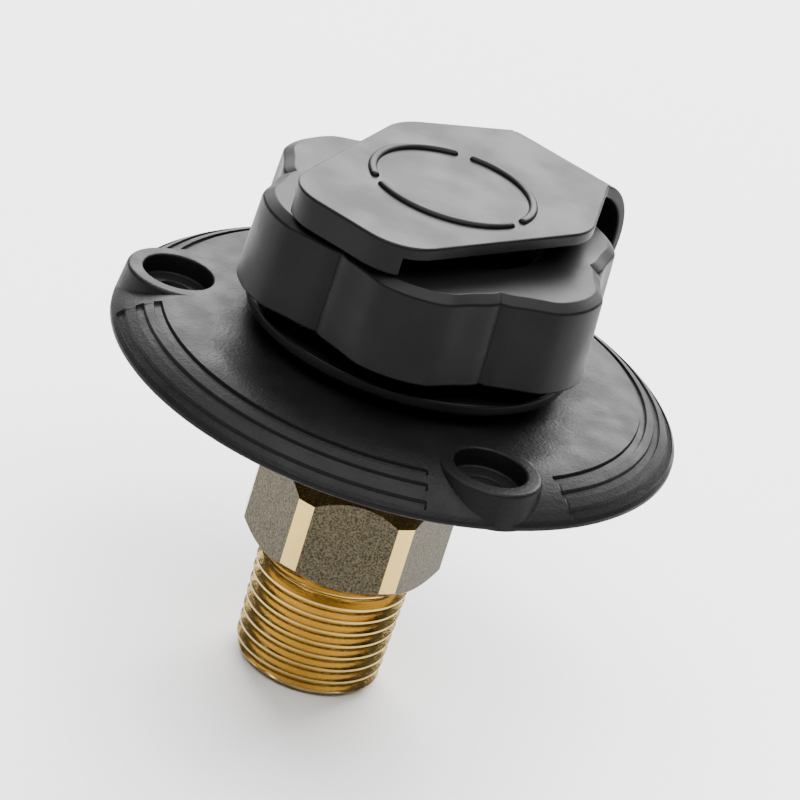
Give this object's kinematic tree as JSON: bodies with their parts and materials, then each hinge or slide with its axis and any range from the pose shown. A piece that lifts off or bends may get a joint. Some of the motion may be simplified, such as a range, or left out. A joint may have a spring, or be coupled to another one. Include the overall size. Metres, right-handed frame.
{
  "type": "city water inlet",
  "caption": "Water inlet for a caravan wall: round flange, lobed swivel nut for a hose, tethered lid, and behind it a brass body with a check valve and a taper pipe thread.",
  "frame": {"origin": "centre of the flange's back plane, on the waterway's axis", "axes": "+Z out of the wall along the waterway towards the lid, +Y towards the lid's strap, -Y towards the lid's lip"},
  "size_m": [0.08, 0.0801, 0.076],
  "materials": {
    "grained_plastic": "fine moulded grain",
    "satin_plastic": "smooth satin",
    "brass": "forged flats, turned and polished elsewhere",
    "rubber": "matt",
    "stainless": "drawn wire",
    "acetal": "smooth moulded"
  },
  "bodies": {
    "flange": {"flange": "grained_plastic", "brass_body": "brass", "body_gasket": "rubber", "neck_seal": "rubber", "swivel_tailpiece": "brass", "hose_washer": "rubber", "strainer_screen": "stainless", "check_valve_cage": "acetal", "check_valve_spring": "stainless"},
    "nut": {"hose_nut": "satin_plastic"},
    "strap": {"lid_strap": "satin_plastic"},
    "lid": {"lid": "satin_plastic"},
    "poppet": {"check_valve_poppet": "acetal", "poppet_seal": "rubber"}
  },
  "joints": [
    {"name": "nut_swivel", "type": "hinge", "parent": "flange", "child": "nut", "pos_m": [0, 0, 0.0128], "axis": [0, 0, 1], "continuous": true},
    {"name": "strap_swivel", "type": "hinge", "parent": "flange", "child": "strap", "pos_m": [0, 0, 0.008], "axis": [0, 0, 1], "continuous": true},
    {"name": "lid_hinge", "type": "hinge", "parent": "strap", "child": "lid", "pos_m": [0, 0.0249, 0.02865], "axis": [-1, 0, 0], "range_deg": [0, 110]},
    {"name": "poppet_slide", "type": "slide", "parent": "flange", "child": "poppet", "axis": [0, 0, -1], "range_m": [0, 0.003], "stiffness_N_per_m": 150, "springref_m": -0.002, "deforming": ["check_valve_spring"]}
  ]
}
